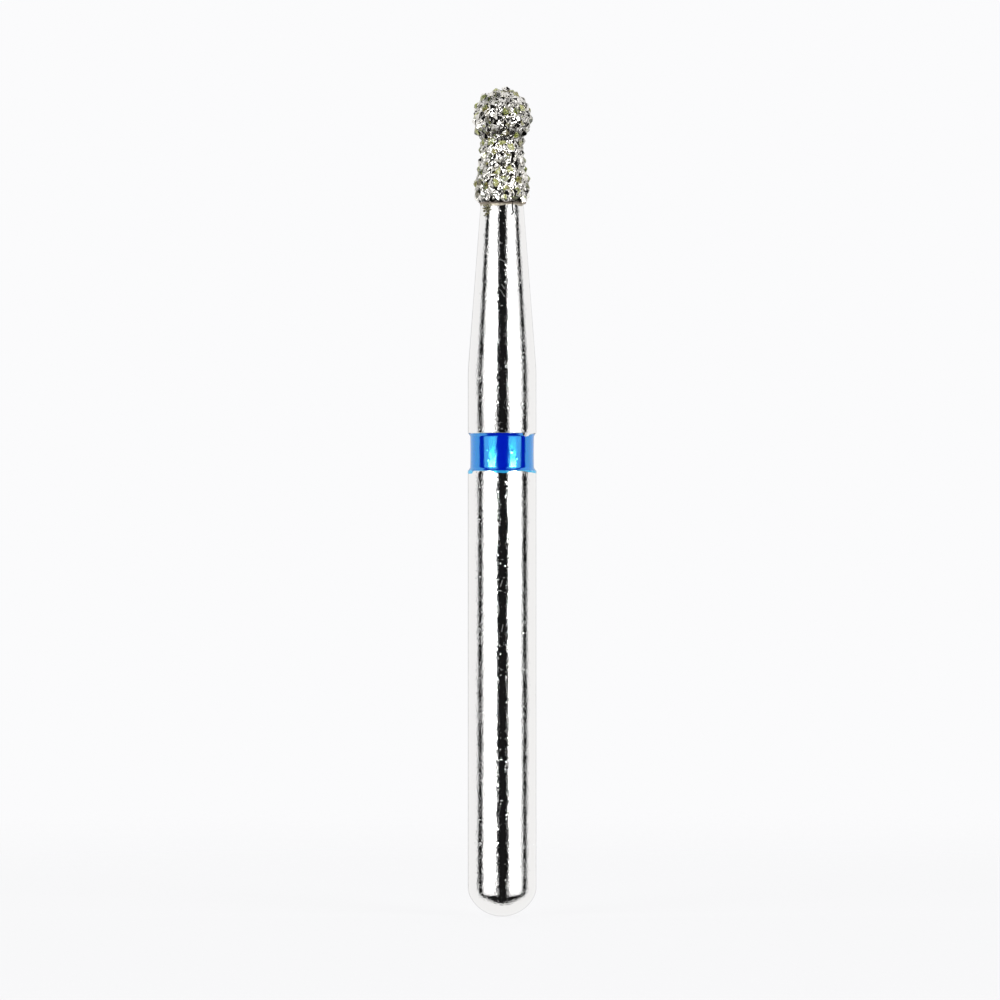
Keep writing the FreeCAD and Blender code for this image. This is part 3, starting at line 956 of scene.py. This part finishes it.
CRUMBS = [(484.2, 206.2, 0.11), (487.6, 206.6, 0.13), (486.0, 209.2, 0.14), (488.8, 209.0, 0.11),
          (487.4, 211.8, 0.12), (484.0, 211.6, 0.07), (486.2, 214.6, 0.10), (490.4, 206.4, 0.08),
          (483.2, 208.8, 0.06), (488.2, 214.0, 0.07), (484.4, 216.2, 0.06), (490.6, 210.4, 0.05)]
CRUMB_SHARES, CRUMB_LIFT, CRUMB_SEED = (0.6, 1.0), 0.012, 8
HAIRLINE = [(512.3, 203.2), (512.5, 207.0), (512.7, 209.6), (513.0, 211.6), (513.8, 212.9),
            (512.8, 213.9), (511.5, 215.6)]
HAIR_RADIUS, HAIR_SIDES = 0.015, 8


def on_neck(column, row, lift=0):
    """A place on the front of the neck."""
    height = height_of(row)
    radius = neck_radius(height) + lift
    across = (column - AXIS_COLUMN) * PIXEL
    return Vector((across, -math.sqrt(radius ** 2 - across ** 2), height))


def make_spill():
    draw = random.Random(CRUMB_SEED)
    points, faces = [], []
    for column, row, width in CRUMBS:
        centre = on_neck(column, row, CRUMB_LIFT)
        block, rings = truncated(random_corners(draw, centre, width, CRUMB_SHARES), draw)
        faces += [[len(points) + i for i in ring] for ring in rings]
        points += block
    first = len(points)
    for spot in HAIRLINE:
        centre = on_neck(*spot, HAIR_RADIUS / 2)
        outward, along = out_and_along(centre)
        for k in range(HAIR_SIDES):
            turn = math.tau * k / HAIR_SIDES
            side = outward * math.cos(turn) + along * math.sin(turn)
            points.append(centre + side * HAIR_RADIUS)
    last = len(points) - HAIR_SIDES
    for low in range(first, last, HAIR_SIDES):
        for k in range(HAIR_SIDES):
            m = (k + 1) % HAIR_SIDES
            faces.append([low + k, low + m, low + HAIR_SIDES + m, low + HAIR_SIDES + k])
    faces.append(list(range(first, first + HAIR_SIDES))[::-1])
    faces.append(list(range(last, last + HAIR_SIDES)))
    piece = new_piece("spilt_plating", points, faces, SPILT)
    set_values(piece, "dark", [0.0] * first + [1.0] * (len(points) - first))
    return piece


# Studio: strengths of its parts, and the angles in degrees where they start and end

PALE = linear("#FBFBFC")
PANEL_LIGHT, LAMP_LIGHT, GAP_LIGHT, BACK_LIGHT = 1.25, 20.0, 0.010, 0.60
PANEL_START, PANEL_END, PANEL_TOP, PANEL_DROP, PANEL_SLANT = 21.5, 70.8, 62.0, 43.5, 0.20
LAMP_START, LAMP_END, LAMP_FOOT, LAMP_TOP = 27.0, 50.0, 2.2, 14.0
TENT_TURN = 1.85
GROUND_START, GROUND_RISE = 91.8, 12.8
RISE_START, RISE_FULL = 28.0, 60.0
BACK_GAP = 161.0
EDGE_BLUR, LAMP_FOOT_BLUR = 1.0, 1.6
FULL_TURN = 360


def make_world():
    """A pale ground behind, a light panel at each side of the viewer with a lamp shining through
    it just above level, and dark between."""
    world = bpy.data.worlds.new("light_tent")
    world.use_nodes = True
    bpy.context.scene.world = world
    tree = world.node_tree
    tree.nodes.clear()
    way = add(tree, "ShaderNodeTexCoord").outputs["Generated"]
    way = add(tree, "ShaderNodeVectorRotate", {
        "Vector": way, "Angle": -math.radians(TENT_TURN)}, rotation_type="Z_AXIS")
    parts = add(tree, "ShaderNodeSeparateXYZ", [way]).outputs
    side = add(tree, "ShaderNodeMath", [parts["X"]], operation="ABSOLUTE")
    front = add(tree, "ShaderNodeMath", [parts["Y"], -1.0], operation="MULTIPLY")
    down = add(tree, "ShaderNodeMath", [parts["Z"], -1.0], operation="MULTIPLY")
    turn = add(tree, "ShaderNodeMath", [side, front], operation="ARCTAN2")
    rise = add(tree, "ShaderNodeMath", [parts["Z"]], operation="ARCSINE")
    fall = add(tree, "ShaderNodeMath", [rise, -1.0], operation="MULTIPLY")
    off_view = add(tree, "ShaderNodeMath", [front], operation="ARCCOSINE")
    tilt = add(tree, "ShaderNodeMath", [down, side], operation="ARCTAN2")

    def within(value, low, high, low_blur=EDGE_BLUR):
        """1 between two angles and 0 beyond them, with soft edges."""
        above = add(tree, "ShaderNodeMapRange", [
            value, math.radians(low - low_blur), math.radians(low + low_blur)])
        below = add(tree, "ShaderNodeMapRange", [
            value, math.radians(high - EDGE_BLUR), math.radians(high + EDGE_BLUR), 1.0, 0.0])
        return add(tree, "ShaderNodeMath", [above, below], operation="MULTIPLY")

    slanted = add(tree, "ShaderNodeMath", [turn, PANEL_SLANT, fall], operation="MULTIPLY_ADD")
    panel = within(turn, PANEL_START, PANEL_END)
    for limit in (within(slanted, -FULL_TURN, PANEL_DROP), within(rise, -FULL_TURN, PANEL_TOP)):
        panel = add(tree, "ShaderNodeMath", [panel, limit], operation="MULTIPLY")
    level = within(rise, LAMP_FOOT, LAMP_TOP, LAMP_FOOT_BLUR)
    lamp = add(tree, "ShaderNodeMath", [within(turn, LAMP_START, LAMP_END), level],
               operation="MULTIPLY")
    raised = add(tree, "ShaderNodeMapRange", [
        tilt, math.radians(RISE_START), math.radians(RISE_FULL), 0.0, math.radians(GROUND_RISE)])
    raised = add(tree, "ShaderNodeMath", [off_view, raised], operation="ADD")
    ground = within(raised, GROUND_START, FULL_TURN)
    gap = within(off_view, BACK_GAP, FULL_TURN)
    light = GAP_LIGHT
    for share, strength in ((panel, PANEL_LIGHT), (lamp, LAMP_LIGHT), (ground, PALE[0]),
                            (gap, BACK_LIGHT)):
        light = add(tree, "ShaderNodeMix", [share, light, strength])
    studio = add(tree, "ShaderNodeBackground", {"Color": [1, 1, 1, 1], "Strength": light})
    plain = add(tree, "ShaderNodeBackground", {"Color": PALE, "Strength": 1.0})
    seen = add(tree, "ShaderNodeLightPath").outputs["Is Camera Ray"]
    shown = add(tree, "ShaderNodeMixShader", [seen, studio, plain])
    add(tree, "ShaderNodeOutputWorld", {"Surface": shown})


FLOOR_RADIUS, FLOOR_SIDES, FLOOR_DROP = 60.0, 64, 0.01
FADE_START, FADE_END = 0.3, 0.95
FLOOR_GLOW = 0.86


def make_floor():
    """A pale round table top that fades out at its rim."""
    material, tree = new_material("pale_floor")
    place = add(tree, "ShaderNodeTexCoord").outputs["Object"]
    reach = add(tree, "ShaderNodeVectorMath", [place], operation="LENGTH")
    fade = add(tree, "ShaderNodeMapRange", [
        reach, FADE_START * FLOOR_RADIUS * MM, FADE_END * FLOOR_RADIUS * MM],
        interpolation_type="SMOOTHSTEP")
    matt = add(tree, "ShaderNodeBsdfDiffuse", {"Color": linear("#F4F4F5")})
    bright = add(tree, "ShaderNodeEmission", {"Color": PALE, "Strength": 1.0})
    seen = add(tree, "ShaderNodeLightPath").outputs["Is Camera Ray"]
    share = add(tree, "ShaderNodeMath", [seen, FLOOR_GLOW], operation="MULTIPLY")
    top = add(tree, "ShaderNodeMixShader", [share, matt, bright])
    clear = add(tree, "ShaderNodeBsdfTransparent")
    whole = add(tree, "ShaderNodeMixShader", [fade, top, clear])
    add(tree, "ShaderNodeOutputMaterial", {"Surface": whole})
    angles = [math.tau * i / FLOOR_SIDES for i in range(FLOOR_SIDES)]
    ring = [(FLOOR_RADIUS * math.cos(a), FLOOR_RADIUS * math.sin(a), -FLOOR_DROP) for a in angles]
    floor = new_piece("floor", ring, [list(range(FLOOR_SIDES))], material)
    floor.visible_glossy = False


LENS, SENSOR = 250.0, 36.0
CLIP_NEAR, CLIP_FAR = 1, 2000


def make_camera():
    """A long lens level with the middle of the bur, framed as in the photograph."""
    data = bpy.data.cameras.new("camera")
    data.lens, data.sensor_width = LENS, SENSOR
    data.clip_start, data.clip_end = CLIP_NEAR * MM, CLIP_FAR * MM
    camera = bpy.data.objects.new("camera", data)
    bpy.context.scene.collection.objects.link(camera)
    distance = LENS / SENSOR * FRAME_PIXELS * PIXEL
    middle = FRAME_PIXELS / 2
    camera.location = [(middle - AXIS_COLUMN) * PIXEL * MM, -distance * MM, height_of(middle) * MM]
    camera.rotation_euler = (math.radians(90), 0, 0)
    bpy.context.scene.camera = camera


# The whole bur

STEEL = ground_steel()
LACQUER = band_lacquer()
NICKEL = plated_nickel()
DIAMOND = diamond()
SPILT = spilt_plating()

blank = make_blank()
lacquer = make_lacquer()
crystals, plated = make_crystals()
plated_grains = make_grains("plated_grains", NICKEL, [crystals, plated], spacing=0.095,
                            clearance=0.020, smallest=0.10, largest=0.17, seed=4)
grains = make_grains("fine_grains", DIAMOND, [crystals, plated, plated_grains], spacing=0.10,
                     clearance=0.010, smallest=0.08, largest=0.13, seed=9)
coat = make_coat(crystals, plated, plated_grains, grains)
spill = make_spill()

for piece, node, slot in ((blank, "steel_blank", "steel"), (lacquer, "colour_band", "lacquer"),
                          (coat, "nickel_bond", "nickel"), (crystals, "diamond_grit", "diamond")):
    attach(piece, BODY)
    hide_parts(node)
for piece, slot in ((plated, "nickel"), (plated_grains, "nickel"), (grains, "diamond"),
                    (spill, "nickel")):
    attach(piece, BODY)

make_world()
make_floor()
make_camera()
bpy.context.scene.view_settings.view_transform = "Standard"
